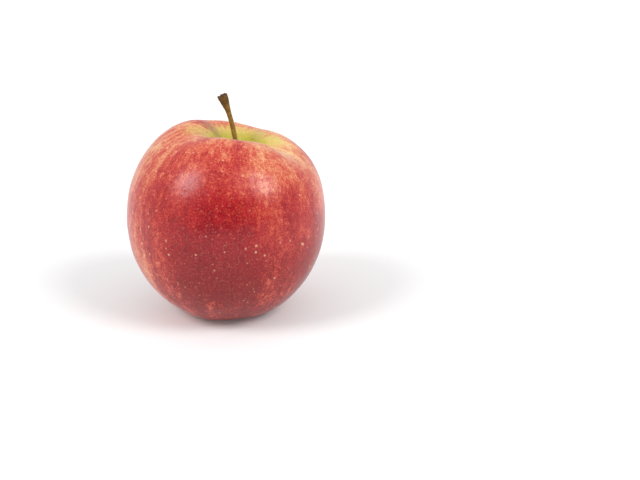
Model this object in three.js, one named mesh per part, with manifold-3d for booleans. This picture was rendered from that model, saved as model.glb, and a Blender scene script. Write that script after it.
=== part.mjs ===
// An apple: one grown fruit, the woody stem in the hollow on top, and the dried
// remains of the flower (five sepals and a tuft of stamens) in the basin underneath.
// Millimetres, +Z up. The origin is on the ground plane, under the middle of the fruit.

import * as THREE from 'three';
import { ParametricGeometry } from 'three/addons/geometries/ParametricGeometry.js';
import { mergeVertices } from 'three/addons/utils/BufferGeometryUtils.js';
import Module from 'manifold-3d';

// Fruit: overall sizes
const fruitRadius = 39.6; // half the width at the widest level
const crownHeight = 72.3; // mean height of the rim round the stem hollow
const widestHeight = 37.7; // level of the widest girth

// Fruit: stem hollow on top
const hollowRadius = 16; // from the hollow's middle to its rim
const hollowDepth = 16; // from the rim down to the stem's foot
const hollowOffset = { x: 4.3, y: 1.8 }; // the hollow sits a little off the fruit's middle
const crownSlope = { x: -0.19, y: -0.03 }; // the rim leans: rise per millimetre along X and Y

// Fruit: basin underneath, and the spot it rests on
const basinRadius = 13.5; // ring that the fruit stands on
const basinDepth = 7.5; // from that ring up to the sepals
const calyxRadius = 4.2; // mouth of the small cup behind the sepals
const calyxDepth = 1.8;
const restSink = 0.35; // how much of the ring the small flat spot takes off

// Fruit: how full the curves of its section are. Each value is the share of the way
// along a stretch, from its start, at which a handle of its curve stands.
const hollowFloorFullness = 0.12;
const hollowRimFullness = 0.38;
const shoulderTopFullness = 0.26;
const shoulderSideFullness = 0.8;
const bellySideFullness = 0.64;
const bellyFootFullness = 0.29;
const basinRingFullness = 0.5;
const basinTopFullness = 0.6;
const calyxMouthFullness = 0.7;
const calyxFloorFullness = 0.6;

// Fruit: five ribs, and the uneven swelling of the crown
const ribShare = 0.006; // rib height as a share of the radius
const ribTurn = 0.39; // where the first rib stands, in radians
const crownLobe = 0.45; // height of the five lobes round the stem hollow
const baseLobe = 0.15; // height of the five lobes under the base
const crownSwells = [
  { waves: 3, height: 0.9, turn: 0.57 },
  { waves: 2, height: 0.66, turn: 1.74 },
];
const furrow = { depth: 1.5, turn: -0.26, width: 0.35 }; // one groove runs out of the hollow

// Stem
const stemLength = 31.2; // from the bottom of the hollow to the tip, straight up
const stemLean = 4.7; // how far the tip hangs over towards -X
const stemBow = 1.3; // how far the lower half bows the other way
const stemRootRadius = 1.3;
const stemRadius = 0.95;
const stemTipRadius = 2.0; // the tip flares where it broke from the twig
const stemRootDepth = 2.2; // how deep the stem's foot is set in the flesh
const stemRootShare = 0.3; // share of the stem over which the thick root runs out
const stemFlareShare = 0.3; // share of the stem that the flare takes
const stemBendLow = 0.215; // heights of the line's two bends, as shares of its length
const stemBendHigh = 0.63;
const socketHeadroom = 3; // how far the socket's cut runs past the bottom of the hollow

// Dried flower remains
const sepalCount = 5;
const sepalTipHeight = 1.05; // how far the sepals' tips stay above the ground
const sepalWidth = 2.9;
const sepalThickness = 0.5;
const sepalRing = 3.2; // distance of the sepals' feet from the basin's middle
const sepalLeanIn = 0.75; // how far each sepal leans in at its middle
const sepalCurlOut = 1.5; // how far its tip curls out again
const sepalTaper = 0.85; // share of the width lost by the tip
const sepalThinning = 0.4; // share of the thickness lost by the tip
const tuftRadius = 1.2;
const tuftTipHeight = 3.15; // how far the tuft's tip stays above the ground
const tuftSink = 0.6; // how far the tuft stands up into the calyx cup
const tuftTaper = 0.35; // share of the radius lost by the tip
const tuftFlutes = { count: 6, depth: 0.12 };

const clearance = 0.3; // gap between pieces that touch

// How finely each piece is faceted
const fruitSlices = 60;
const hollowRows = 10;
const shoulderRows = 10;
const bellyRows = 12;
const basinRows = 8;
const calyxRows = 3;
const stemSlices = 12;
const stemRows = 22;
const sepalSlices = 10;
const sepalRows = 12;
const tuftSlices = 18;
const tuftRows = 8;

const wasm = await Module();
wasm.setup();

const smooth = (t) => t * t * (3 - 2 * t);
const mix = (a, b, t) => a + (b - a) * t;
const fullTurn = 2 * Math.PI;

// The angle of slice u, with the last slice exactly on the first.
const angleOf = (u) => (u === 1 ? 0 : u * fullTurn);

// A parametric surface as one closed mesh: seams merged, collapsed triangles dropped.
function closedSurface(surface, slices, stacks) {
  const raw = new ParametricGeometry(surface, slices, stacks);
  raw.deleteAttribute('normal');
  raw.deleteAttribute('uv');
  const merged = mergeVertices(raw, 1e-4);
  const corners = merged.index.array;
  const kept = [];
  for (let i = 0; i < corners.length; i += 3) {
    const [a, b, c] = corners.slice(i, i + 3);
    if (a !== b && b !== c && c !== a) {
      kept.push(a, b, c);
    }
  }
  merged.setIndex(kept);
  return merged;
}

function solidFrom(geometry) {
  const vertProperties = new Float32Array(geometry.attributes.position.array);
  const triVerts = new Uint32Array(geometry.index.array);
  return new wasm.Manifold(new wasm.Mesh({ numProp: 3, vertProperties, triVerts }));
}

function geometryFrom(solid) {
  const mesh = solid.getMesh();
  const geometry = new THREE.BufferGeometry();
  geometry.setAttribute('position', new THREE.BufferAttribute(mesh.vertProperties, 3));
  geometry.setIndex(new THREE.BufferAttribute(mesh.triVerts, 1));
  return geometry;
}

// Half of the fruit's section, from the bottom of the stem hollow over the crown, the widest
// girth and the standing ring to the calyx cup: smooth curves joined end to end. x is the
// distance from the axis and y the height. `crown` is how much of the crown's lean a curve
// has at its start and end, `rib` how much of the ribs.
const ringLevel = -restSink;
const hollowFloor = crownHeight - hollowDepth;
const basinTop = ringLevel + basinDepth;
const section = [
  {
    rows: hollowRows,
    points: [
      [0, hollowFloor],
      [hollowFloorFullness * hollowRadius, hollowFloor],
      [hollowRimFullness * hollowRadius, crownHeight],
      [hollowRadius, crownHeight],
    ],
    crown: [1, 1],
    rib: [0, 1],
  },
  {
    rows: shoulderRows,
    points: [
      [hollowRadius, crownHeight],
      [mix(hollowRadius, fruitRadius, shoulderTopFullness), crownHeight],
      [fruitRadius, mix(widestHeight, crownHeight, shoulderSideFullness)],
      [fruitRadius, widestHeight],
    ],
    crown: [1, 0],
    rib: [1, 1],
  },
  {
    rows: bellyRows,
    points: [
      [fruitRadius, widestHeight],
      [fruitRadius, mix(widestHeight, ringLevel, bellySideFullness)],
      [mix(basinRadius, fruitRadius, bellyFootFullness), ringLevel],
      [basinRadius, ringLevel],
    ],
    crown: [0, 0],
    rib: [1, 1],
  },
  {
    rows: basinRows,
    points: [
      [basinRadius, ringLevel],
      [mix(basinRadius, calyxRadius, basinRingFullness), ringLevel],
      [mix(basinRadius, calyxRadius, basinTopFullness), basinTop],
      [calyxRadius, basinTop],
    ],
    crown: [0, 0],
    rib: [1, 0],
  },
  {
    rows: calyxRows,
    points: [
      [calyxRadius, basinTop],
      [calyxMouthFullness * calyxRadius, basinTop],
      [calyxFloorFullness * calyxRadius, basinTop + calyxDepth],
      [0, basinTop + calyxDepth],
    ],
    crown: [0, 0],
    rib: [0, 0],
  },
];
for (const stretch of section) {
  const ends = stretch.points.map(([x, y]) => new THREE.Vector2(x, y));
  stretch.curve = new THREE.CubicBezierCurve(...ends);
}
const sectionRows = section.reduce((sum, stretch) => sum + stretch.rows, 0);

// The place on the section that row v (0 to 1) of the surface stands on.
function sectionAt(v) {
  let row = v * sectionRows;
  let index = 0;
  while (index < section.length - 1 && row > section[index].rows + 1e-9) {
    row -= section[index].rows;
    index += 1;
  }
  const { curve, rows, crown, rib } = section[index];
  const t = Math.min(row / rows, 1);
  return {
    index,
    t,
    point: curve.getPoint(t),
    crown: mix(crown[0], crown[1], smooth(t)),
    rib: mix(rib[0], rib[1], smooth(t)),
  };
}

// The lobes, swells and furrow round the crown, as a height at angle turn.
function crownRelief(turn) {
  let height = crownLobe * Math.cos(5 * (turn - ribTurn));
  for (const swell of crownSwells) {
    height += swell.height * Math.cos(swell.waves * (turn - swell.turn));
  }
  const away = Math.atan2(Math.sin(turn - furrow.turn), Math.cos(turn - furrow.turn));
  return height - furrow.depth * Math.exp(-((away / furrow.width) ** 2));
}

// A point of the fruit's skin: the section turned about the axis, with ribs, the leaning
// crown and its relief, and the lobes under the base.
function fruitSkin(u, v, target) {
  const turn = -angleOf(u);
  const { index, t, point, crown, rib } = sectionAt(v);
  const wave = Math.cos(5 * (turn - ribTurn));
  const radius = point.x * (1 + rib * ribShare * wave);
  const x = radius * Math.cos(turn);
  const y = radius * Math.sin(turn);
  const relief = index === 0 ? smooth(t) : crown;
  const underside = index === 2 ? smooth(t) : index === 3 ? 1 - smooth(t) : 0;
  const lean = crownSlope.x * x + crownSlope.y * y;
  const z = point.y + crown * lean + relief * crownRelief(turn) - underside * baseLobe * wave;
  target.set(x + crown * hollowOffset.x, y + crown * hollowOffset.y, z);
}

// The stem's middle line, from its foot in the flesh to the flared tip.
function stemPoint(across, up) {
  return new THREE.Vector3(hollowOffset.x + across, hollowOffset.y, hollowFloor + up);
}
const stemLine = new THREE.CubicBezierCurve3(
  stemPoint(0.25 * stemBow, -stemRootDepth),
  stemPoint(stemBow, stemBendLow * stemLength),
  stemPoint(-0.15 * stemBow, stemBendHigh * stemLength),
  stemPoint(-stemLean, stemLength),
);

// The stem's radius at t along its line: thick at the root, slim, flared at the tip.
function stemRadiusAt(t) {
  const fromRoot = smooth(Math.min(t / stemRootShare, 1));
  const intoFlare = smooth(Math.max((t - 1) / stemFlareShare + 1, 0));
  return mix(stemRootRadius, stemRadius, fromRoot) + (stemTipRadius - stemRadius) * intoFlare ** 1.5;
}

// Row v of a slim closed piece: its first and last rows are the middles of its two ends, and
// the rows between run from reach 0 to reach 1.
function rowOf(v, rows) {
  const row = Math.round(v * rows) - 1;
  const isPole = row < 0 || row > rows - 2;
  return { isPole, reach: Math.min(Math.max(row / (rows - 2), 0), 1) };
}

// A round rod along a line whose radius changes on the way, closed by flat ends.
function rodSurface(line, radiusAt, rows) {
  const side = new THREE.Vector3(0, 1, 0);
  return (u, v, target) => {
    const turn = angleOf(u);
    const { isPole, reach } = rowOf(v, rows);
    const along = line.getTangent(reach);
    const across = new THREE.Vector3().crossVectors(side, along).normalize();
    const other = new THREE.Vector3().crossVectors(along, across);
    const radius = isPole ? 0 : radiusAt(reach);
    target.copy(line.getPoint(reach));
    target.addScaledVector(across, radius * Math.cos(turn));
    target.addScaledVector(other, radius * Math.sin(turn));
  };
}

function makeStem() {
  return closedSurface(rodSurface(stemLine, stemRadiusAt, stemRows), stemSlices, stemRows);
}

// The socket that the stem's foot stands in, wider and deeper by the clearance.
function makeStemSocket() {
  const rows = 4;
  const heading = stemLine.getTangent(0);
  const foot = stemLine.getPoint(0);
  const bottom = foot.clone().addScaledVector(heading, -clearance);
  const top = foot.clone().addScaledVector(heading, stemRootDepth + socketHeadroom);
  const line = new THREE.LineCurve3(bottom, top);
  const radius = stemRootRadius + clearance;
  return solidFrom(closedSurface(rodSurface(line, () => radius, rows), stemSlices, rows));
}

function makeFruit() {
  const skin = solidFrom(closedSurface(fruitSkin, fruitSlices, sectionRows));
  const groundBox = new THREE.BoxGeometry(4 * fruitRadius, 4 * fruitRadius, 10);
  groundBox.translate(0, 0, -5);
  groundBox.deleteAttribute('normal');
  groundBox.deleteAttribute('uv');
  const ground = solidFrom(mergeVertices(groundBox));
  return geometryFrom(skin.subtract(ground).subtract(makeStemSocket()));
}

// One dried sepal hanging at angle 0: a thin blade that leans in and then curls out at
// its tip. u goes round its flat oval section and v runs from foot to tip.
function sepalBlade(u, v, target) {
  const turn = -angleOf(u);
  const { isPole, reach } = rowOf(v, sepalRows);
  const size = isPole ? 0 : 0.5;
  const half = size * sepalWidth * (1 - sepalTaper * reach ** 1.6);
  const thick = size * sepalThickness * (1 - sepalThinning * reach);
  const middle = sepalRing - sepalLeanIn * Math.sin(Math.PI * reach) + sepalCurlOut * reach ** 3;
  const z = mix(basinTop - clearance, sepalTipHeight, reach);
  target.set(middle + thick * Math.cos(turn), half * Math.sin(turn), z);
}

// The withered stamens and styles, as one fluted bundle that narrows to a blunt tip.
function tuftBundle(u, v, target) {
  const turn = -angleOf(u);
  const { isPole, reach } = rowOf(v, tuftRows);
  const fluting = 1 + tuftFlutes.depth * Math.cos(tuftFlutes.count * turn);
  const radius = isPole ? 0 : tuftRadius * fluting * (1 - tuftTaper * reach);
  const z = mix(basinTop + tuftSink, tuftTipHeight, reach);
  target.set(radius * Math.cos(turn), radius * Math.sin(turn), z);
}

const skinFinish = new THREE.MeshStandardMaterial({ color: 0xa8302c, roughness: 0.35, metalness: 0 });
const stemFinish = new THREE.MeshStandardMaterial({ color: 0x7a5f38, roughness: 0.7, metalness: 0 });
const sepalFinish = new THREE.MeshStandardMaterial({ color: 0x5b4a34, roughness: 0.85, metalness: 0 });
const tuftFinish = new THREE.MeshStandardMaterial({ color: 0x3f3020, roughness: 0.9, metalness: 0 });

const apple = new THREE.Group();

function addPiece(name, geometry, material) {
  const mesh = new THREE.Mesh(geometry, material);
  mesh.name = name;
  apple.add(mesh);
  return mesh;
}

addPiece('fruit', makeFruit(), skinFinish);
addPiece('stem', makeStem(), stemFinish);
for (let i = 0; i < sepalCount; i += 1) {
  const sepal = addPiece(`sepal_${i + 1}`, closedSurface(sepalBlade, sepalSlices, sepalRows), sepalFinish);
  sepal.rotation.z = ribTurn + (fullTurn * i) / sepalCount;
}
addPiece('stamen_tuft', closedSurface(tuftBundle, tuftSlices, tuftRows), tuftFinish);

export default apple;
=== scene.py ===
import math
import bpy
import numpy as np
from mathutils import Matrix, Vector


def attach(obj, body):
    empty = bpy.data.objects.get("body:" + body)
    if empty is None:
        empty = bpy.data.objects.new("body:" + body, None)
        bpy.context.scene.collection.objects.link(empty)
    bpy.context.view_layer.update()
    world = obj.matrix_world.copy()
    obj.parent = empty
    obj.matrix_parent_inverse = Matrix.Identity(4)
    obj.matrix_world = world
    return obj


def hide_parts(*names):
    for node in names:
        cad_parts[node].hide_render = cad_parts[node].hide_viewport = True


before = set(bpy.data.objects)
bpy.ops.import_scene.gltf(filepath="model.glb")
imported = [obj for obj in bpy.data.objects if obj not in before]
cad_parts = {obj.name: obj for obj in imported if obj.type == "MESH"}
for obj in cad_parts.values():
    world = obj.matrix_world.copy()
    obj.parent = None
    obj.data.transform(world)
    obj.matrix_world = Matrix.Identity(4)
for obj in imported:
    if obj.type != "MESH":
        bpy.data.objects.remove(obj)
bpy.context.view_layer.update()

mm = 0.001


# view, floor and light

cameraView = {
    "elevation": 20.0,  # degrees above the floor
    "distance": 500.0,  # mm from the fruit's middle
    "middleHeight": 37.0,
    "aimRight": 37.2,  # the lens points past the fruit, which stands left of centre
    "aimUp": -9.4,
    "lens": 70.0,
}


def placeCamera(v):
    rise = math.radians(v["elevation"])
    middle = Vector((0, 0, v["middleHeight"]))
    forward = Vector((0, math.cos(rise), -math.sin(rise)))
    up = Vector((0, math.sin(rise), math.cos(rise)))
    stand = middle - forward * v["distance"]
    aim = middle + Vector((v["aimRight"], 0, 0)) + up * v["aimUp"]
    camera = bpy.data.objects.new("camera", bpy.data.cameras.new("camera"))
    bpy.context.collection.objects.link(camera)
    camera.data.lens = v["lens"]
    camera.data.sensor_width = 36
    camera.data.clip_start = 0.01
    camera.location = stand * mm
    camera.rotation_euler = (aim - stand).to_track_quat("-Z", "Y").to_euler()
    bpy.context.scene.camera = camera


studio = {
    "lamps": {  # side: degrees round from the front, rise: degrees up, strength: W/m2
        "left_lamp": {"side": -65, "rise": 44, "strength": 1.34, "spread": 25},
        "right_lamp": {"side": 55, "rise": 43, "strength": 1.50, "spread": 27},
    },
    "surround": (0.76, 0.76, 0.77),  # light that comes from all round
    "frontShade": (0.10, 0.10, 0.10),  # the unlit side of the room, where the viewer stands
    "shadeFrom": -0.95,  # how far to the front the shade is full, and where it ends
    "shadeTo": -0.45,
    "floorColour": (0.83, 0.84, 0.84, 1),
    "floorGlow": 0.07,  # the floor is a lit white sheet
    "floorRoughness": 0.9,
    "floorShine": 0.1,
    "floorHalf": 4.0,  # m
    "floorLevel": -0.0001,  # m, a hair under the fruit
}


def placeLamps(lamps):
    for name, lamp in lamps.items():
        side = math.radians(lamp["side"])
        rise = math.radians(lamp["rise"])
        toLamp = Vector((math.sin(side) * math.cos(rise), -math.cos(side) * math.cos(rise), math.sin(rise)))
        sun = bpy.data.lights.new(name, "SUN")
        sun.energy = lamp["strength"]
        sun.angle = math.radians(lamp["spread"])
        holder = bpy.data.objects.new(name, sun)
        holder.rotation_euler = toLamp.to_track_quat("Z", "Y").to_euler()
        bpy.context.collection.objects.link(holder)


def lightSurround(s):
    # even white light from every side, falling to the shade colour towards the front
    world = bpy.data.worlds.new("surround")
    bpy.context.scene.world = world
    world.use_nodes = True
    tree = world.node_tree
    background = tree.nodes["Background"]
    way = tree.nodes.new("ShaderNodeTexCoord")
    split = tree.nodes.new("ShaderNodeSeparateXYZ")
    tree.links.new(way.outputs["Generated"], split.inputs[0])
    ramp = tree.nodes.new("ShaderNodeMapRange")
    ramp.interpolation_type = "SMOOTHSTEP"
    ramp.inputs["From Min"].default_value = s["shadeFrom"]
    ramp.inputs["From Max"].default_value = s["shadeTo"]
    tree.links.new(split.outputs["Y"], ramp.inputs["Value"])
    mix = tree.nodes.new("ShaderNodeMix")
    mix.data_type = "RGBA"
    mix.inputs["A"].default_value = (*s["frontShade"], 1)
    mix.inputs["B"].default_value = (*s["surround"], 1)
    tree.links.new(ramp.outputs["Result"], mix.inputs["Factor"])
    tree.links.new(mix.outputs["Result"], background.inputs["Color"])


def layFloor(s):
    half = s["floorHalf"]
    mesh = bpy.data.meshes.new("floor")
    level = s["floorLevel"]
    corners = [(-half, -half, level), (half, -half, level), (half, half, level), (-half, half, level)]
    mesh.from_pydata(corners, [], [(0, 1, 2, 3)])
    floor = bpy.data.objects.new("floor", mesh)
    bpy.context.collection.objects.link(floor)
    paint = bpy.data.materials.new("floor_paint")
    paint.use_nodes = True
    shader = paint.node_tree.nodes["Principled BSDF"]
    shader.inputs["Base Color"].default_value = s["floorColour"]
    shader.inputs["Roughness"].default_value = s["floorRoughness"]
    shader.inputs["Specular IOR Level"].default_value = s["floorShine"]
    shader.inputs["Emission Color"].default_value = (1, 1, 1, 1)
    shader.inputs["Emission Strength"].default_value = s["floorGlow"]
    mesh.materials.append(paint)


placeCamera(cameraView)
placeLamps(studio["lamps"])
lightSurround(studio)
layFloor(studio)
bpy.context.scene.view_settings.view_transform = "Standard"
print("view, floor and light are set")


def smooth(t):
    # 0 to 1 with level ends: 3 t^2 - 2 t^3
    t = np.clip(t, 0, 1)
    return t * t * (3 - 2 * t)


def mix(a, b, t):
    return a + (b - a) * t


def curvePoints(handles, t):
    # a cubic curve: its four handles weighted by the Bernstein shares of t
    p = np.asarray(handles, float)
    w = np.stack([(1 - t) ** 3, 3 * t * (1 - t) ** 2, 3 * t * t * (1 - t), t ** 3], -1)
    return w @ p


def curveHeading(handles, t):
    # the curve's direction: the handles' differences weighted by the shares of t, unit length
    p = np.diff(np.asarray(handles, float), axis=0)
    w = np.stack([(1 - t) ** 2, 2 * t * (1 - t), t * t], -1)
    d = w @ p
    return d / np.linalg.norm(d, axis=-1, keepdims=True)


def shellFaces(rings, slices, first=0):
    # faces of a closed tube of rings with a point at each end: quads between rings, fans at the ends
    start = first
    end = first + 1 + rings * slices
    here = np.arange(slices)
    after = (here + 1) % slices
    ringStart = first + 1 + np.arange(rings - 1)[:, None] * slices
    nextRing = ringStart + slices
    quads = np.stack([ringStart + here, nextRing + here, nextRing + after, ringStart + after], -1)
    top = np.stack([np.full(slices, start), first + 1 + here, first + 1 + after], -1)
    lastRing = end - slices
    bottom = np.stack([lastRing + here, np.full(slices, end), lastRing + after], -1)
    return top, quads.reshape(-1, 4), bottom


def makePiece(name, points, faceGroups, attributes=None):
    # one smooth mesh from points in mm and groups of faces, with numbers or vectors for its points
    mesh = bpy.data.meshes.new(name)
    faces = [face for group in faceGroups for face in np.asarray(group).tolist()]
    mesh.from_pydata((points * mm).tolist(), [], faces)
    mesh.shade_smooth()
    for label, values in (attributes or {}).items():
        kind = "FLOAT_VECTOR" if values.ndim == 2 else "FLOAT"
        field = "vector" if values.ndim == 2 else "value"
        layer = mesh.attributes.new(label, kind, "POINT")
        layer.data.foreach_set(field, values.astype(np.float32).ravel())
    piece = bpy.data.objects.new(name, mesh)
    bpy.context.collection.objects.link(piece)
    return piece


def closedShell(start, rings, end):
    # points of a shell: its first end point, its rings one after another, its last end point
    return np.concatenate([np.reshape(start, (1, 3)), rings.reshape(-1, 3), np.reshape(end, (1, 3))])


# the fruit: sizes in mm, turns in radians
fruit = {
    "radius": 39.6,
    "crownHeight": 72.3,
    "widestHeight": 37.7,
    "hollowRadius": 16.0,
    "hollowDepth": 16.0,
    "hollowOffset": (4.3, 1.8),
    "crownSlope": (-0.19, -0.03),
    "basinRadius": 13.5,
    "basinDepth": 7.5,
    "calyxRadius": 4.2,
    "calyxDepth": 1.8,
    "restSink": 0.35,
    "ribShare": 0.006,
    "ribTurn": 0.39,
    "crownLobe": 0.45,
    "baseLobe": 0.15,
    "crownSwells": ((3, 0.9, 0.57), (2, 0.66, 1.74)),  # waves round the rim, height, turn
    "furrow": (1.5, -0.26, 0.35),  # depth, turn, width
    "slices": 360,
    "rows": (54, 60, 84, 48, 14),  # hollow, shoulder, belly, basin, calyx cup
    "dents": {"height": 0.10, "waves": 40, "shortest": 9, "longest": 30},  # the whole skin
    "pleats": {"height": 0.10, "waves": 9, "fewest": 24, "most": 60},  # radial, in the stem hollow
    "puckers": {"height": 0.45, "waves": 7, "fewest": 7, "most": 19},  # round the flower remains
    "puckerMix": (0.6, 0.5),  # shares of the five even gathers and of the random ones
}
hollowFloor = fruit["crownHeight"] - fruit["hollowDepth"]
ringLevel = -fruit["restSink"]
basinTop = ringLevel + fruit["basinDepth"]


def fruitSection(f):
    # Half of the fruit's section as five cubic stretches: hollow, shoulder, belly, basin and
    # calyx cup. Gives, for each row: distance from the axis, height, stretch number, share t.
    crown, belly, ring, calyx = f["crownHeight"], f["widestHeight"], f["basinRadius"], f["calyxRadius"]
    wide, rim = f["radius"], f["hollowRadius"]
    stretches = [
        [(0, hollowFloor), (0.12 * rim, hollowFloor), (0.38 * rim, crown), (rim, crown)],
        [(rim, crown), (mix(rim, wide, 0.26), crown), (wide, mix(belly, crown, 0.8)), (wide, belly)],
        [(wide, belly), (wide, mix(belly, ringLevel, 0.64)),
         (mix(ring, wide, 0.29), ringLevel), (ring, ringLevel)],
        [(ring, ringLevel), (mix(ring, calyx, 0.5), ringLevel),
         (mix(ring, calyx, 0.6), basinTop), (calyx, basinTop)],
        [(calyx, basinTop), (0.7 * calyx, basinTop), (0.6 * calyx, basinTop + f["calyxDepth"]),
         (0, basinTop + f["calyxDepth"])],
    ]
    points, part, share = [], [], []
    for number, (handles, rows) in enumerate(zip(stretches, f["rows"])):
        t = np.arange(rows) / rows
        points.append(curvePoints(handles, t))
        part.append(np.full(rows, number))
        share.append(t)
    points.append(np.array([stretches[-1][-1]], float))
    part.append(np.array([4]))
    share.append(np.array([1.0]))
    points = np.concatenate(points)
    return points[:, 0], points[:, 1], np.concatenate(part), np.concatenate(share)


def softWaves(points, kind, seed):
    # unevenness: many plane waves of random direction and phase through the points, added up
    rng = np.random.default_rng(seed)
    count = kind["waves"]
    ways = rng.normal(size=(count, 3))
    ways /= np.linalg.norm(ways, axis=1, keepdims=True)
    lengths = rng.uniform(kind["shortest"], kind["longest"], count)
    phases = rng.uniform(0, 2 * np.pi, count)
    waves = np.cos(points @ (ways / lengths[:, None]).T * 2 * np.pi + phases)
    return waves.sum(-1) / math.sqrt(count)


def ringNoise(turn, kind, seed):
    # a random wavy line all round: cosines of whole wave numbers and random phases, added up
    rng = np.random.default_rng(seed)
    count = kind["waves"]
    numbers = rng.integers(kind["fewest"], kind["most"] + 1, count)
    phases = rng.uniform(0, 2 * np.pi, count)
    return np.cos(turn[..., None] * numbers + phases).sum(-1) / math.sqrt(count)


def fruitSkinPoints(f):
    # The section turned about the axis. The radius is multiplied by 1 + rib cos 5u; the crown
    # leans and carries lobes, swells and one furrow; the hollow is set off the middle; soft
    # waves, creases and puckers are added, and nothing goes below the floor.
    radius, height, part, share = fruitSection(f)
    eased = smooth(share)
    crown = np.select([part == 0, part == 1], [1.0, 1 - eased], 0.0)
    rib = np.select([part == 0, part == 3, part == 4], [eased, 1 - eased, 0.0], 1.0)
    relief = np.where(part == 0, eased, crown)
    underside = np.select([part == 2, part == 3], [eased, 1 - eased], 0.0)
    u = np.arange(f["slices"]) / f["slices"] * 2 * np.pi
    turn = np.broadcast_to(u, (len(radius), len(u)))
    wave = np.cos(5 * (turn - f["ribTurn"]))
    lobes = f["crownLobe"] * wave
    for waves, lift, swellTurn in f["crownSwells"]:
        lobes = lobes + lift * np.cos(waves * (turn - swellTurn))
    depth, furrowTurn, furrowWidth = f["furrow"]
    away = np.angle(np.exp(1j * (turn - furrowTurn)))
    lobes = lobes - depth * np.exp(-(away / furrowWidth) ** 2)
    r = radius[:, None] * (1 + rib[:, None] * f["ribShare"] * wave)
    x, y = r * np.cos(turn), r * np.sin(turn)
    lean = f["crownSlope"][0] * x + f["crownSlope"][1] * y
    z = height[:, None] + crown[:, None] * lean + relief[:, None] * lobes
    z = z - underside[:, None] * f["baseLobe"] * wave
    x = x + crown[:, None] * f["hollowOffset"][0]
    y = y + crown[:, None] * f["hollowOffset"][1]
    points = np.stack([x, y, z], -1)
    down = np.gradient(points, axis=0)
    around = np.roll(points, -1, 1) - np.roll(points, 1, 1)
    outward = np.cross(down, around)
    outward /= np.linalg.norm(outward, axis=-1, keepdims=True) + 1e-9
    dents, pleats, puckers = f["dents"], f["pleats"], f["puckers"]
    bumps = dents["height"] * softWaves(points, dents, seed=4)
    inHollow = np.where(part == 0, np.sin(np.pi * np.clip(share, 0, 1)) ** 2, 0)[:, None]
    bumps = bumps + pleats["height"] * inHollow * ringNoise(turn, pleats, seed=7)
    basinWall = smooth((share - 0.35) / 0.4) * (1 - 0.3 * smooth((share - 0.9) / 0.1))
    inBasin = np.where(part == 3, basinWall, 0)[:, None]
    even, uneven = f["puckerMix"]
    gathers = even * np.cos(5 * turn) + uneven * ringNoise(turn, puckers, seed=11)
    bumps = bumps + puckers["height"] * inBasin * gathers
    # the bumps fade out at the middles of both hollows
    fade = np.select([part == 4, part == 0], [1 - eased, smooth(share / 0.15)], 1.0)
    points = points + outward * (bumps * fade[:, None])[..., None]
    points[..., 2] = np.maximum(points[..., 2], 0)
    return points, turn, part, share


def zoneSpot(turn, run, middleTurn, middleRun, widthTurn, widthRun):
    # one soft oval zone on the skin: 1 at its middle, falling off as a bell
    away = np.angle(np.exp(1j * (turn - math.radians(middleTurn)))) / math.radians(widthTurn)
    return np.exp(-away ** 2 - ((run - middleRun) / widthRun) ** 2)


# soft zones: turn in degrees, way from the hollow's middle in mm, half widths of both, strength
redZones = (  # more red, or less where the strength is below zero; some paler zones are painted highlights and painted light, marked below
    (-6, 26, 42, 11, -0.46),
    (100, 27, 80, 10, -0.36),
    (152, 19, 16, 6, 0.12),
    (22, 26, 5, 9, 0.22),
    (-4, 30, 4, 8, 0.14),
    (178, 27, 30, 12, -0.08),
    # paler near rim of the hollow: partly the skin's paler ground, partly a painted highlight along the rim
    (-84, 24, 46, 8, -0.26),
    (-110, 23, 14, 4, -0.12),
    # painted highlight: a narrow pale line along the near rim of the hollow
    (-65, 18, 40, 3, -0.12),
    # next two: paler right shoulder where the right lamp's highlight falls, partly lighter skin and partly
    # a painted highlight
    (-72, 39, 22, 12, -0.19),
    (-45, 42, 24, 12, -0.09),
    (-12, 46, 18, 18, -0.24),
    (174, 42, 24, 12, -0.16),
    (203, 34, 22, 8, -0.05),
    (190, 26, 14, 6, 0.07),
    (-150, 25, 28, 4, -0.08),
    (-87, 30, 4, 9, 0.20),
    (95, 15, 22, 4, -0.16),
    (-90, 58, 26, 13, 0.15),
    (190, 50, 24, 26, -0.10),
    # painted light: the lower-left edge made paler, standing in for light bounced up from the floor and its
    # reflection at the edge
    (208, 84, 20, 20, -0.24),
    (75, 66, 36, 30, -0.30),
    (-105, 62, 24, 16, 0.16),
    (-138, 57, 20, 11, 0.09),
    (-98, 76, 22, 14, 0.24),
    (-118, 92, 50, 24, 0.14),
    (-20, 82, 42, 30, 0.20),
    (140, 84, 30, 26, 0.15),
)
greenZones = (  # where the green of the hollow runs on towards the rim
    (190, 22, 13, 6, 0.26),
    (4, 20, 14, 6, 0.30),
    (52, 17, 22, 5, 0.20),
)


def zoneSum(zones, turn, run):
    return sum(strength * zoneSpot(turn, run, *spot) for *spot, strength in zones)


def endsMet(values):
    # rows from the hollow to the calyx as one list; the end rows are each drawn into one point
    rows = values[1:-1].reshape(-1, *values.shape[2:])
    return np.concatenate([values[:1].mean(1), rows, values[-1:].mean(1)])


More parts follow.
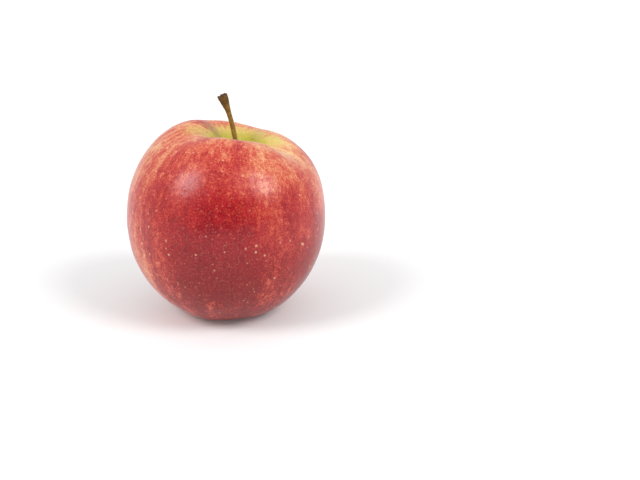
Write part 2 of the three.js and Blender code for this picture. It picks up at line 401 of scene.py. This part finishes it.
def makeFruit(f):
    points, turn, part, share = fruitSkinPoints(f)
    centreLine = points.mean(1, keepdims=True)
    radial = np.hypot(*(points - centreLine)[..., :2].transpose(2, 0, 1)).mean(1)
    fall = centreLine[:, 0, 2]
    run = np.concatenate([[0], np.cumsum(np.hypot(np.diff(radial), np.diff(fall)))])
    away = np.broadcast_to(run[:, None], turn.shape)
    stripes = np.stack([np.cos(turn), np.sin(turn), away / f["radius"]], -1)
    # the skin's red, together with the painted highlights and painted light of the paler zones
    blush = zoneSum(redZones, turn, away)
    inHollow = np.where(part == 0, 1 - smooth((share - 0.45) / 0.55), 0)[:, None]
    inHollow = inHollow + zoneSum(greenZones, turn, away)
    inBasin = np.where(part >= 3, smooth((share + (part == 4)) / 0.8), 0)
    fields = {
        "stripes": stripes,
        "blush": blush,
        "hollow": inHollow,
        "basin": np.broadcast_to(inBasin[:, None], turn.shape),
    }

    attributes = {name: endsMet(values) for name, values in fields.items()}
    piece = makePiece("apple_skin", endsMet(points), shellFaces(len(points) - 2, f["slices"]), attributes)
    wrapSkinMap(piece, turn, run / run[-1])
    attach(piece, "root")
    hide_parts("fruit")
    return piece


def wrapSkinMap(piece, turn, down):
    # the flat map: across it the turn round the fruit, down it the way from hollow to calyx
    mesh = piece.data
    slices = turn.shape[1]
    corners = np.empty(len(mesh.loops), np.int64)
    mesh.loops.foreach_get("vertex_index", corners)
    starts = np.empty(len(mesh.polygons), np.int64)
    totals = np.empty(len(mesh.polygons), np.int64)
    mesh.polygons.foreach_get("loop_start", starts)
    mesh.polygons.foreach_get("loop_total", totals)
    place = corners - 1
    across = (place % slices) / slices
    row = place // slices + 1
    last = len(down) - 1
    atStart = corners == 0
    atEnd = corners == (last - 1) * slices + 1
    row = np.where(atStart, 0, np.where(atEnd, last, row))
    owner = np.repeat(np.arange(len(starts)), totals)
    ends = atStart | atEnd
    highest = np.zeros(len(starts))
    np.maximum.at(highest, owner, np.where(ends, 0, across))
    lowest = np.ones(len(starts))
    np.minimum.at(lowest, owner, np.where(ends, 1, across))
    seam = (highest - lowest > 0.5)[owner]
    across = np.where(seam & (across < 0.5), across + 1, across)
    middle = np.where(seam, 1 - 0.5 / slices, (highest[owner] + lowest[owner]) / 2)
    across = np.where(ends, middle, across)
    flat = np.stack([across, 1 - down[row]], -1) * 0.996 + 0.002
    layer = mesh.uv_layers.new(name="OFBake")
    layer.data.foreach_set("uv", flat.astype(np.float32).ravel())


appleSkin = makeFruit(fruit)
print("fruit:", len(appleSkin.data.polygons), "faces")


# the stem: sizes in mm, shares of its length
stem = {
    "length": 31.2,
    "lean": 4.7,
    "bow": 1.3,
    "rootRadius": 1.3,
    "radius": 0.95,
    "tipRadius": 2.0,
    "rootDepth": 2.2,
    "rootShare": 0.3,
    "flareShare": 0.3,
    "slices": 40,
    "rows": 130,
    "cupRows": 9,
    "cupDepth": 0.7,
    "footBow": 0.25,  # shares of the bow at the foot and at the upper bend
    "highBow": 0.15,
    "lowBend": 0.215,  # shares of the length where the line bends
    "highBend": 0.63,
    "twist": 0.35,
    "ridges": (0.035, 0.025),  # heights of the five broad and the nine narrow ones
    "knots": 0.03,
    "torn": {"height": 0.22, "waves": 6, "fewest": 2, "most": 9},  # the ragged end
    "tornFrom": 0.97,
}


def stemLine(s):
    # the stem's middle line: a cubic curve from its foot, bowed right and leaning left at the tip
    x, y = fruit["hollowOffset"]
    return [
        (x + s["footBow"] * s["bow"], y, hollowFloor - s["rootDepth"]),
        (x + s["bow"], y, hollowFloor + s["lowBend"] * s["length"]),
        (x - s["highBow"] * s["bow"], y, hollowFloor + s["highBend"] * s["length"]),
        (x - s["lean"], y, hollowFloor + s["length"]),
    ]


def makeStem(s):
    # Rings round the middle line. The radius eases from root to slender middle and out again
    # to the flared tip; ridges run along it; the broken end is a shallow ragged cup.
    line = stemLine(s)
    t = np.linspace(0, 1, s["rows"])
    turn = np.arange(s["slices"]) / s["slices"] * 2 * np.pi
    centre = curvePoints(line, t)
    along = curveHeading(line, t)
    across = np.cross((0, 1, 0), along)
    across /= np.linalg.norm(across, axis=-1, keepdims=True)
    other = np.cross(along, across)
    radius = mix(s["rootRadius"], s["radius"], smooth(t / s["rootShare"]))
    radius = radius + (s["tipRadius"] - s["radius"]) * smooth((t - 1) / s["flareShare"] + 1) ** 2
    spin = turn[None, :] + s["twist"] * t[:, None]
    five, nine = s["ridges"]
    ridges = five * np.cos(5 * spin + 1) + nine * np.cos(9 * spin + 4 * t[:, None])
    knots = s["knots"] * np.cos(t[:, None] * 41 + 2 * np.cos(turn)) * np.cos(t[:, None] * 17 + 1)
    r = radius[:, None] * (1 + ridges + knots)
    spokes = across[:, None] * np.cos(turn)[None, :, None] + other[:, None] * np.sin(turn)[None, :, None]
    side = centre[:, None] + spokes * r[..., None]
    ragged = s["torn"]["height"] * ringNoise(turn, s["torn"], seed=3)
    torn = smooth((t - s["tornFrom"]) / 0.03)[:, None]
    side = side + along[:, None] * (ragged[None] * torn)[..., None]
    inward = np.arange(1, s["cupRows"]) / s["cupRows"]
    sink = -s["cupDepth"] * smooth(inward / 0.7)
    cup = centre[-1] + spokes[-1][None] * (r[-1][None] * (1 - inward)[:, None])[..., None]
    cup = cup + along[-1] * (sink[:, None] + ragged[None] * (1 - inward)[:, None])[..., None]
    rings = np.concatenate([side, cup])
    tip = centre[-1] - along[-1] * s["cupDepth"]
    shell = closedShell(centre[0], rings, tip)
    level = np.concatenate([np.broadcast_to(t[:, None], r.shape), np.ones((len(inward), s["slices"]))])
    cupLevel = np.concatenate([0 * r, np.broadcast_to(inward[:, None], (len(inward), s["slices"]))])
    marks = {
        "run": np.concatenate([[0], level.ravel(), [1]]),
        "cup": np.concatenate([[0], cupLevel.ravel(), [1]]),
    }
    top, quads, bottom = shellFaces(len(rings), s["slices"])
    groups = [top[:, ::-1], quads[:, ::-1], bottom[:, ::-1]]
    piece = makePiece("stem_wood", shell, groups, marks)
    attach(piece, "root")
    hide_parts("stem")
    return piece


stemPiece = makeStem(stem)
print("stem:", len(stemPiece.data.polygons), "faces")


# the dried flower remains: sizes in mm
sepals = {
    "count": 5,
    "footGap": 0.1,
    "tipHeight": 1.05,
    "width": 3.1,
    "thickness": 0.38,
    "ring": 3.2,
    "leanIn": 0.75,
    "curlOut": 1.6,
    "edgeCurl": 0.55,
    "wrinkles": (0.05, 0.04),  # heights of the coarse and the fine ones
    "twist": 0.25,  # most, either way
    "sway": 0.5,
    "tipSpread": 0.7,
    "ripple": 0.1,
    "slices": 28,
    "rows": 40,
}


def makeSepal(s, number):
    # A thin blade hanging from the basin. Its section is a flat oval whose edges curl in; its
    # middle line leans in, then curls out; it narrows to a point, wrinkled and a little twisted.
    rng = np.random.default_rng(20 + number)
    reach = np.linspace(0, 1, s["rows"])[:, None]
    turn = (np.arange(s["slices"]) / s["slices"] * 2 * np.pi)[None]
    half = 0.5 * s["width"] * (1 - 0.9 * reach ** 1.5) * (0.9 + 0.1 * rng.uniform())
    thick = 0.5 * s["thickness"] * (1 - 0.45 * reach) * (1 + 0.6 * np.exp(-(np.sin(turn) / 0.25) ** 2))
    curl = s["edgeCurl"] * rng.uniform(0.7, 1.2) * np.sin(turn) ** 2 * (half / s["width"] * 2) ** 2
    leanIn = s["leanIn"] * rng.uniform(0.8, 1.2)
    curlOut = s["curlOut"] * rng.uniform(0.7, 1.2)
    middle = s["ring"] - leanIn * np.sin(np.pi * reach) + curlOut * reach ** 3
    coarse, finer = s["wrinkles"]
    wrinkle = coarse * np.cos(9 * reach * np.pi + 3 * np.sin(turn) + 6 * rng.uniform())
    wrinkle = wrinkle + finer * np.cos(23 * reach + 5 * np.sin(turn) + 6 * rng.uniform())
    outer = middle + thick * np.cos(turn) - curl + wrinkle
    twist = rng.uniform(-s["twist"], s["twist"]) * reach ** 2
    sideways = half * np.sin(turn) + rng.uniform(-s["sway"], s["sway"]) * reach ** 2
    bottom = s["tipHeight"] + rng.uniform(0, s["tipSpread"])
    ripple = s["ripple"] * np.cos(6 * np.sin(turn) + rng.uniform(0, 6)) * reach
    z = mix(basinTop - s["footGap"], bottom, reach) + ripple
    angle = fruit["ribTurn"] + 2 * np.pi * number / s["count"]
    z = np.broadcast_to(z, outer.shape)
    x = outer * np.cos(angle + twist) - sideways * np.sin(angle + twist)
    y = outer * np.sin(angle + twist) + sideways * np.cos(angle + twist)
    rings = np.stack([x, y, z], -1)
    shell = closedShell(rings[0].mean(0), rings, rings[-1].mean(0))
    run = np.concatenate([[0], np.broadcast_to(reach, outer.shape).ravel(), [1]])
    faces = shellFaces(len(rings), s["slices"])
    piece = makePiece(f"sepal_blade_{number + 1}", shell, faces, {"run": run})
    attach(piece, "root")
    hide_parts(f"sepal_{number + 1}")
    return piece


sepalPieces = [makeSepal(sepals, number) for number in range(sepals["count"])]

tuft = {
    "stamens": 18,
    "styles": 5,
    "rootRadius": 0.9,
    "spread": 1.0,
    "thread": 0.10,  # radius of a stamen's thread
    "anther": 0.26,
    "tipHeight": 3.2,
    "tipSpread": 1.3,
    "rootRise": 0.6,
    "swing": 0.9,  # turn of a thread from foot to tip, most either way
    "waver": 0.15,
    "squeeze": 0.3,  # how far the stamens draw in at half their length
    "styleRadius": 0.3,
    "styleSpread": 0.3,
    "styleShare": 1.5,  # a style is this much thicker than a stamen
    "beadAt": 0.9,  # shares of the length
    "beadLength": 0.08,
    "rows": 18,
    "slices": 8,
}


def makeTuft(t):
    # Many fine threads at once: each is a ring carried along a bent path, hardly tapering, with
    # a bead at its end on the stamens and none on the styles.
    rng = np.random.default_rng(31)
    count = t["stamens"] + t["styles"]
    isStamen = (np.arange(count) < t["stamens"])[:, None]
    reach = np.linspace(0, 1, t["rows"])[None]
    angle = rng.uniform(0, 2 * np.pi, (count, 1))
    stamenFoot = t["rootRadius"] * rng.uniform(0.7, 1.1, (count, 1))
    styleFoot = t["styleRadius"] * rng.uniform(0, 1, (count, 1))
    foot = np.where(isStamen, stamenFoot, styleFoot)
    spread = np.where(isStamen, t["spread"] * rng.uniform(-0.9, 0.8, (count, 1)), t["styleSpread"])
    away = foot + spread * reach ** 2 - t["squeeze"] * np.sin(np.pi * reach) * isStamen
    swing = angle + rng.uniform(-t["swing"], t["swing"], (count, 1)) * reach
    top = basinTop + t["rootRise"]
    low = t["tipHeight"] + rng.uniform(0, t["tipSpread"], (count, 1))
    z = mix(top, low, reach) + t["waver"] * np.sin(7 * reach + angle)
    path = np.stack([away * np.cos(swing), away * np.sin(swing), z], -1)
    thread = np.where(isStamen, t["thread"], t["styleShare"] * t["thread"]) * np.ones_like(reach)
    swell = np.exp(-((reach - t["beadAt"]) / t["beadLength"]) ** 2)
    bead = np.where(isStamen, t["anther"], 0.0) * swell
    radius = np.maximum(thread, bead)
    turn = np.arange(t["slices"]) / t["slices"] * 2 * np.pi
    flat = np.stack([np.cos(turn), np.sin(turn), 0 * turn], -1)
    rings = path[:, :, None] + radius[..., None, None] * flat
    starts, ends = path[:, 0], path[:, -1] - (0, 0, 0.05)
    threads = [starts[:, None], rings.reshape(count, -1, 3), ends[:, None]]
    points = np.concatenate(threads, 1).reshape(-1, 3)
    each = t["rows"] * t["slices"] + 2
    groups = [group for n in range(count) for group in shellFaces(t["rows"], t["slices"], first=n * each)]
    piece = makePiece("stamen_threads", points, groups)
    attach(piece, "root")
    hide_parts("stamen_tuft")
    return piece


tuftPiece = makeTuft(tuft)
print("flower remains: five sepals and", tuft["stamens"] + tuft["styles"], "threads")


def newFinish(name):
    # an empty finish and a short way to add nodes to it: add(kind, inputs, output, settings)
    paint = bpy.data.materials.new(name)
    paint.use_nodes = True
    tree = paint.node_tree
    shader = tree.nodes["Principled BSDF"]

    def add(kind, inputs, output=0, **settings):
        node = tree.nodes.new("ShaderNode" + kind)
        for key, value in settings.items():
            setattr(node, key, value)
        for key, value in inputs.items():
            connect(value, node.inputs[key])
        return node.outputs[output]

    def connect(value, socket):
        if isinstance(value, bpy.types.NodeSocket):
            tree.links.new(value, socket)
        else:
            socket.default_value = value

    return paint, shader, add, connect


def arithmetic(add):
    # the small sums that finishes are made of
    def calc(operation, a, b=0.0):
        return add("Math", {0: a, 1: b}, operation=operation)

    def total(*terms):
        # terms are sockets or (socket, weight) pairs
        result = None
        for term in terms:
            value = calc("MULTIPLY", *term) if isinstance(term, tuple) else term
            result = value if result is None else calc("ADD", result, value)
        return result

    def step(value, low, high):
        inputs = {"Value": value, "From Min": low, "From Max": high}
        return add("MapRange", inputs, interpolation_type="SMOOTHSTEP")

    def blend(share, a, b, kind="MIX"):
        pair = {"Factor": share, "A": a, "B": b}
        return add("Mix", pair, "Result", data_type="RGBA", blend_type=kind)

    def noise(vector, scale, detail=3.0, roughness=0.55, distortion=0.0):
        inputs = {"Vector": vector, "Scale": scale, "Detail": detail, "Roughness": roughness}
        return add("TexNoise", {**inputs, "Distortion": distortion})

    def ramp(value, stops):
        colour = add("ValToRGB", {0: value})
        marks = colour.node.color_ramp.elements
        while len(marks) < len(stops):
            marks.new(0.5)
        for mark, (position, tint) in zip(marks, stops):
            mark.position = position
            mark.color = tint
        return colour

    return calc, total, step, blend, noise, ramp


skinLook = {
    "blushSteps": (  # from bare ground to the deepest red
        (0.00, (0.80, 0.52, 0.23, 1)),
        (0.20, (0.71, 0.30, 0.145, 1)),
        (0.40, (0.61, 0.110, 0.055, 1)),
        (0.58, (0.48, 0.034, 0.024, 1)),
        (0.76, (0.35, 0.006, 0.010, 1)),
        (1.00, (0.23, 0.002, 0.010, 1)),
    ),
    "olive": (0.42, 0.36, 0.09, 1),  # round the flower remains
    "paleGreen": (0.64, 0.52, 0.15, 1),
    "green": (0.45, 0.40, 0.035, 1),  # ground colour deep in the stem hollow: the skin's green, made darker there as painted shade
    "crimson": (0.41, 0.014, 0.022, 1),
    "dusk": (0.23, 0.001, 0.004, 1),  # the lower part darkened to a purplish red: partly the skin's deeper red, partly painted shade
    "dots": (0.78, 0.46, 0.26, 1),
    "specks": (0.72, 0.21, 0.12, 1),
    "streaks": {  # number round the fruit, number down it, detail, roughness
        "broad": (3.2, 0.9, 2.0, 0.6),
        "middle": (11.0, 2.2, 2.0, 0.5),
        "fine": (32.0, 8.0, 2.0, 0.6),
    },
    "spots": {  # number for each mm, detail, roughness
        "patches": (0.09, 4.0, 0.6),
        "mottle": (0.5, 3.0, 0.6),
        "stipple": (1.5, 3.0, 0.65),
    },
    "shares": {  # how much each layer changes the red
        "broad": 0.52,
        "middle": 0.48,
        "fine": 0.40,
        "patches": 0.54,
        "mottle": 0.62,
        "stipple": 0.84,
    },
    "redness": 0.60,  # the level the layers vary about
    "crimsonShare": 0.45,
    "oliveShare": 0.85,
    "duskFrom": 50.0,  # mm above the ground, down to where the painted shade of the lower part is full
    "duskTo": 14.0,
    "upperDots": {"cell": 3.6, "size": 0.66, "shift": 0.0},  # mm
    "lowerDots": {"cell": 2.6, "size": 0.48, "shift": 50.0},
    "roughness": 0.42,
    "shine": 0.03,
    "coat": 0.75,
    "coatRoughness": 0.29,
    "bloom": 0.13,  # the dull wax that pales the edges
    "bloomRoughness": 0.22,
}


def skinFinish(look):
    # Yellow ground, under a red that is laid on in streaks running from hollow to calyx, in
    # patches and in fine mottling; over both the pale breathing dots.
    paint, shader, add, connect = newFinish("apple_skin_finish")
    calc, total, step, blend, noise, ramp = arithmetic(add)
    place = add("TexCoord", {}, "Object")
    place = add("VectorMath", {0: place, "Scale": 1 / mm}, operation="SCALE")  # in mm
    stripes = add("Attribute", {}, "Vector", attribute_name="stripes")
    blush = add("Attribute", {}, "Fac", attribute_name="blush")
    hollow = add("Attribute", {}, "Fac", attribute_name="hollow")
    basin = add("Attribute", {}, "Fac", attribute_name="basin")

    # the stripe coordinates are stirred a little, so that no streak runs ruler straight
    stir = add("TexNoise", {"Vector": place, "Scale": 0.09, "Detail": 3.0}, "Color")
    stir = add("VectorMath", {0: stir, 1: (0.5, 0.5, 0.5)}, operation="SUBTRACT")
    stir = add("VectorMath", {0: stir, "Scale": 0.2}, operation="SCALE")
    flow = add("VectorMath", {0: stripes, 1: stir}, operation="ADD")

    def streaks(roundScale, downScale, detail, roughness):
        scales = (roundScale, roundScale, downScale)
        stretched = add("VectorMath", {0: flow, 1: scales}, operation="MULTIPLY")
        return noise(stretched, 1.0, detail, roughness)

    layers = {name: streaks(*numbers) for name, numbers in look["streaks"].items()}
    layers.update({name: noise(place, *numbers) for name, numbers in look["spots"].items()})
    grain = noise(place, 2.3, 2.0, 0.6)
    tint = noise(place, 0.16, 3.0)

    # how red each spot is: the general level, the zone's own share and the layers about their middle
    pattern = total(*((layers[name], share) for name, share in look["shares"].items()))
    halfway = 0.5 * sum(look["shares"].values())
    # the deepest red and the palest ground are the most even
    calm = total((step(blush, 0.0, 0.3), -0.12), (step(blush, -0.15, -0.55), -0.18), 1.0)
    pattern = calc("MULTIPLY", calc("SUBTRACT", pattern, halfway), calm)
    redness = calc("ADD", calc("ADD", pattern, look["redness"]), blush)
    colour = ramp(redness, look["blushSteps"])
    crimson = step(total((tint, 0.6), (layers["fine"], 0.4)), 0.46, 0.60)
    crimson = calc("MULTIPLY", crimson, step(redness, 0.42, 0.6))
    colour = blend(calc("MULTIPLY", crimson, look["crimsonShare"]), colour, look["crimson"])
    height = add("SeparateXYZ", {0: place}, "Z")
    # painted shade, together with the skin's deeper red: the lower the skin, the more its red turns to a
    # dark purplish red
    low = step(height, look["duskFrom"], look["duskTo"])
    colour = blend(calc("MULTIPLY", low, step(redness, 0.45, 0.8)), colour, look["dusk"])
    greenish = step(total(hollow, (redness, -0.7)), -0.45, 0.25)
    # the hollow's green ground, paler near the rim and darker deep inside; the darker green is partly
    # painted shade
    hollowTone = blend(step(hollow, 0.15, 0.75), look["paleGreen"], look["green"])
    colour = blend(calc("MULTIPLY", greenish, step(hollow, 0.0, 0.15)), colour, hollowTone)
    olive = step(total((basin, 0.9), (layers["middle"], 0.8)), 0.75, 1.35)
    colour = blend(calc("MULTIPLY", olive, look["oliveShare"]), colour, look["olive"])
    specks = step(noise(place, 1.6, 3.0, 0.65), 0.50, 0.70)
    specks = calc("MULTIPLY", specks, total((low, -0.06), 0.36))  # fainter lower down
    colour = blend(specks, colour, look["specks"])
    lightness = total((grain, 0.8), 0.60)
    colour = add("VectorMath", {0: colour, "Scale": lightness}, operation="SCALE")

    # pale dots: points scattered in space, seen where the skin cuts them
    def dots(cell, size, shift):
        spot = add("VectorMath", {0: place, 1: (shift, 0.0, 0.0)}, operation="ADD")
        inputs = {"Vector": spot, "Scale": 1 / cell, "Randomness": 1.0}
        away = add("TexVoronoi", inputs, "Distance")
        strength = add("SeparateXYZ", {0: add("TexVoronoi", inputs, "Color")}, "X")
        reach = calc("DIVIDE", calc("MULTIPLY", away, cell), total((strength, 0.7), 0.45))
        return calc("MULTIPLY", step(reach, size, 0.35 * size), total((strength, 0.7), 0.05))

    upperDots = dots(**look["upperDots"])
    lowerDots = calc("MULTIPLY", dots(**look["lowerDots"]), total((low, 0.40), 0.25))
    allDots = calc("MAXIMUM", upperDots, lowerDots)
    colour = blend(allDots, colour, look["dots"])
    connect(colour, shader.inputs["Base Color"])

    connect(look["roughness"], shader.inputs["Roughness"])
    connect(look["shine"], shader.inputs["Specular IOR Level"])
    connect(look["coat"], shader.inputs["Coat Weight"])
    connect(look["coatRoughness"], shader.inputs["Coat Roughness"])
    connect(look["bloom"], shader.inputs["Sheen Weight"])
    connect(look["bloomRoughness"], shader.inputs["Sheen Roughness"])
    relief = total((noise(place, 0.33, 2.0, 0.5), 0.15), (noise(place, 1.6, 1.0), 0.02), (allDots, -0.01))
    bump = add("Bump", {"Strength": 1.0, "Distance": 0.001, "Height": relief}, "Normal")
    connect(bump, shader.inputs["Normal"])
    connect(bump, shader.inputs["Coat Normal"])
    return paint


stemLook = {
    "wood": (
        (0.00, (0.055, 0.028, 0.012, 1)),
        (0.45, (0.215, 0.115, 0.028, 1)),
        (0.75, (0.370, 0.215, 0.048, 1)),
        (1.00, (0.520, 0.350, 0.110, 1)),
    ),
    "young": (0.33, 0.30, 0.07, 1),  # greenish foot in the hollow
    "cut": (0.085, 0.040, 0.022, 1),  # the broken end
    "shares": (0.8, 0.9, 0.35),  # of fibres, scars and grain
    "middle": 0.60,
    "roughness": 0.62,
    "shine": 0.12,
}


def stemFinish(look):
    # long fibres and a few scars in brown tones, greener at the foot, dark at the broken end
    paint, shader, add, connect = newFinish("stem_finish")
    calc, total, step, blend, noise, ramp = arithmetic(add)
    place = add("TexCoord", {}, "Object")
    place = add("VectorMath", {0: place, "Scale": 1 / mm}, operation="SCALE")
    run = add("Attribute", {}, "Fac", attribute_name="run")
    cup = add("Attribute", {}, "Fac", attribute_name="cup")
    along = add("VectorMath", {0: place, 1: (2.2, 2.2, 0.35)}, operation="MULTIPLY")
    fibres = noise(along, 1.0, 4.0, 0.65)
    scars = noise(place, 0.55, 3.0, 0.6)
    grain = noise(place, 3.5, 2.0)
    tone = total(*zip((fibres, scars, grain), look["shares"]))
    tone = calc("ADD", calc("SUBTRACT", tone, 0.5 * sum(look["shares"])), look["middle"])
    tone = total(tone, (step(run, 0.76, 0.96), -0.36))  # darker towards the end
    colour = ramp(tone, look["wood"])
    colour = blend(calc("MULTIPLY", step(run, 0.32, 0.05), 0.6), colour, look["young"])
    colour = blend(step(total(cup, (grain, 0.4)), 0.25, 0.6), colour, look["cut"])
    connect(colour, shader.inputs["Base Color"])
    connect(look["roughness"], shader.inputs["Roughness"])
    connect(look["shine"], shader.inputs["Specular IOR Level"])
    relief = total((fibres, 0.16), (scars, 0.12), (grain, 0.05))
    bump = add("Bump", {"Strength": 0.8, "Distance": 0.001, "Height": relief}, "Normal")
    connect(bump, shader.inputs["Normal"])
    return paint


dryLook = {
    "sepal_finish": {
        "tones": (
            (0.00, (0.035, 0.022, 0.014, 1)),
            (0.50, (0.150, 0.095, 0.045, 1)),
            (1.00, (0.360, 0.270, 0.150, 1)),
        ),
        "grainScale": (2.4, 2.4, 0.7),
        "middle": 0.5,
        "shares": (1.3, 0.9),  # of veins and felt
        "roughness": 0.85,
        "shine": 0.2,
        "relief": 0.14,
    },
    "stamen_finish": {
        "tones": (
            (0.00, (0.018, 0.010, 0.007, 1)),
            (0.60, (0.075, 0.042, 0.022, 1)),
            (1.00, (0.220, 0.140, 0.070, 1)),
        ),
        "grainScale": (3.0, 3.0, 1.4),
        "middle": 0.45,
        "shares": (1.3, 0.9),  # of veins and felt
        "roughness": 0.85,
        "shine": 0.2,
        "relief": 0.05,
    },
}


def dryFinish(name):
    # dead leaf tissue: brown tones in long veins with fine felt over them
    look = dryLook[name]
    paint, shader, add, connect = newFinish(name)
    calc, total, step, blend, noise, ramp = arithmetic(add)
    place = add("TexCoord", {}, "Object")
    place = add("VectorMath", {0: place, "Scale": 1 / mm}, operation="SCALE")
    along = add("VectorMath", {0: place, 1: look["grainScale"]}, operation="MULTIPLY")
    veins = noise(along, 1.0, 4.0, 0.6)
    felt = noise(place, 5.0, 3.0, 0.7)
    tone = total(*zip((veins, felt), look["shares"]))
    tone = calc("ADD", calc("SUBTRACT", tone, 0.5 * sum(look["shares"])), look["middle"])
    connect(ramp(tone, look["tones"]), shader.inputs["Base Color"])
    connect(look["roughness"], shader.inputs["Roughness"])
    connect(look["shine"], shader.inputs["Specular IOR Level"])
    relief = total((veins, look["relief"]), (felt, 0.04))
    bump = add("Bump", {"Strength": 0.8, "Distance": 0.001, "Height": relief}, "Normal")
    connect(bump, shader.inputs["Normal"])
    return paint


appleSkin.data.materials.append(skinFinish(skinLook))
stemPiece.data.materials.append(stemFinish(stemLook))
sepalPaint = dryFinish("sepal_finish")
for piece in sepalPieces:
    piece.data.materials.append(sepalPaint)
tuftPiece.data.materials.append(dryFinish("stamen_finish"))
print("finishes are set")
